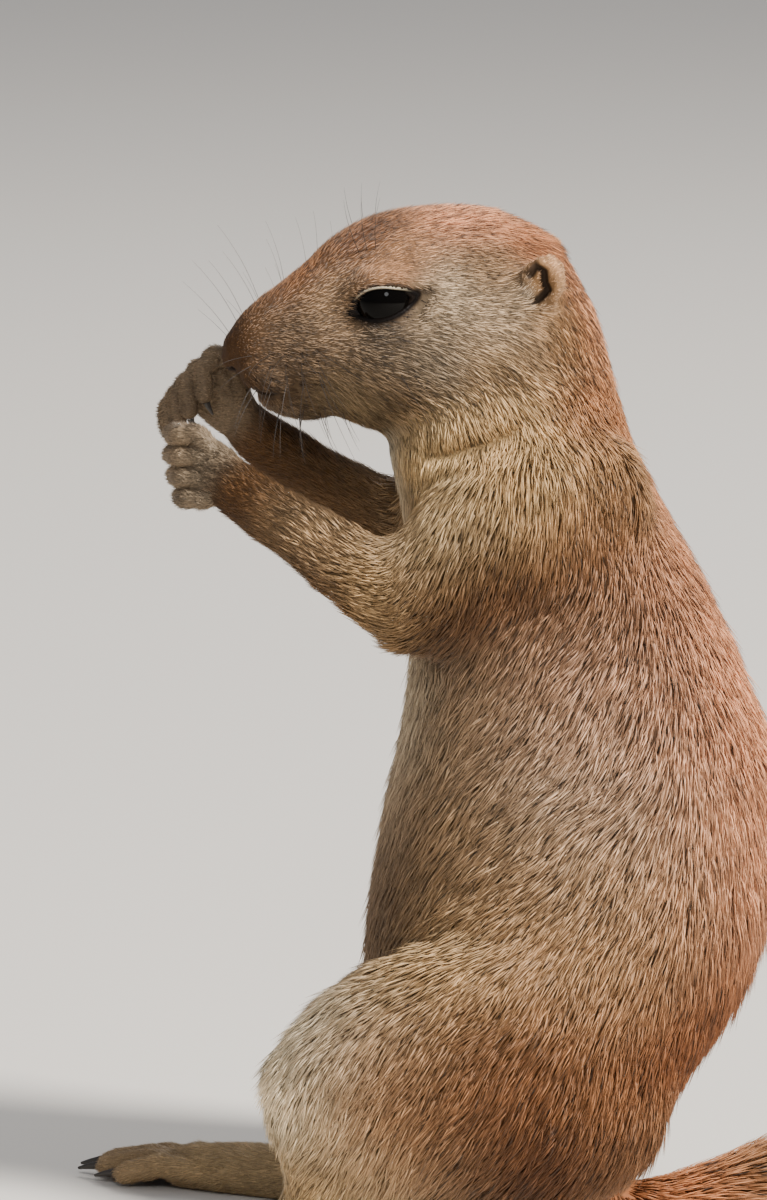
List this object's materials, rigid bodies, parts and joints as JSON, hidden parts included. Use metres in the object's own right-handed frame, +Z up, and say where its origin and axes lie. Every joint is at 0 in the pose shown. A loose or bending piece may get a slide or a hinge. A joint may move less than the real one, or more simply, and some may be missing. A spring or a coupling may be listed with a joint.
{
  "type": "prairie dog figure",
  "caption": "Life-size prairie dog sitting upright on its haunches with its forepaws raised to its mouth and its tail out behind.",
  "frame": {"origin": "on the floor, under the middle of the whole animal's box", "axes": "+Z up, the animal faces -Y, its left side is +X"},
  "size_m": [0.1166, 0.183, 0.2064],
  "materials": {
    "crown_coat": "short dense fur",
    "body_coat": "short dense fur",
    "flank_coat": "short dense fur",
    "pale_coat": "short dense fur",
    "paw": "very short fur over skin",
    "tail_tip_coat": "short dense fur",
    "claw": "satin dark horn",
    "eye": "wet gloss",
    "ear": "short pale fur over skin"
  },
  "bodies": {
    "root": {"belly": "flank_coat", "chest": "body_coat", "neck": "body_coat", "head": "crown_coat", "tail": "body_coat", "tail_tip": "tail_tip_coat", "eye_left": "eye", "ear_left": "ear", "upper_arm_left": "pale_coat", "forearm_left": "pale_coat", "hand_left": "paw", "hand_claw_left_1": "claw", "hand_claw_left_2": "claw", "hand_claw_left_3": "claw", "hand_claw_left_4": "claw", "thigh_left": "body_coat", "shin_left": "pale_coat", "foot_left": "pale_coat", "foot_claw_left_1": "claw", "foot_claw_left_2": "claw", "foot_claw_left_3": "claw", "foot_claw_left_4": "claw", "foot_claw_left_5": "claw", "eye_right": "eye", "ear_right": "ear", "upper_arm_right": "pale_coat", "forearm_right": "pale_coat", "hand_right": "paw", "hand_claw_right_1": "claw", "hand_claw_right_2": "claw", "hand_claw_right_3": "claw", "hand_claw_right_4": "claw", "thigh_right": "body_coat", "shin_right": "pale_coat", "foot_right": "pale_coat", "foot_claw_right_1": "claw", "foot_claw_right_2": "claw", "foot_claw_right_3": "claw", "foot_claw_right_4": "claw", "foot_claw_right_5": "claw"}
  },
  "joints": []
}
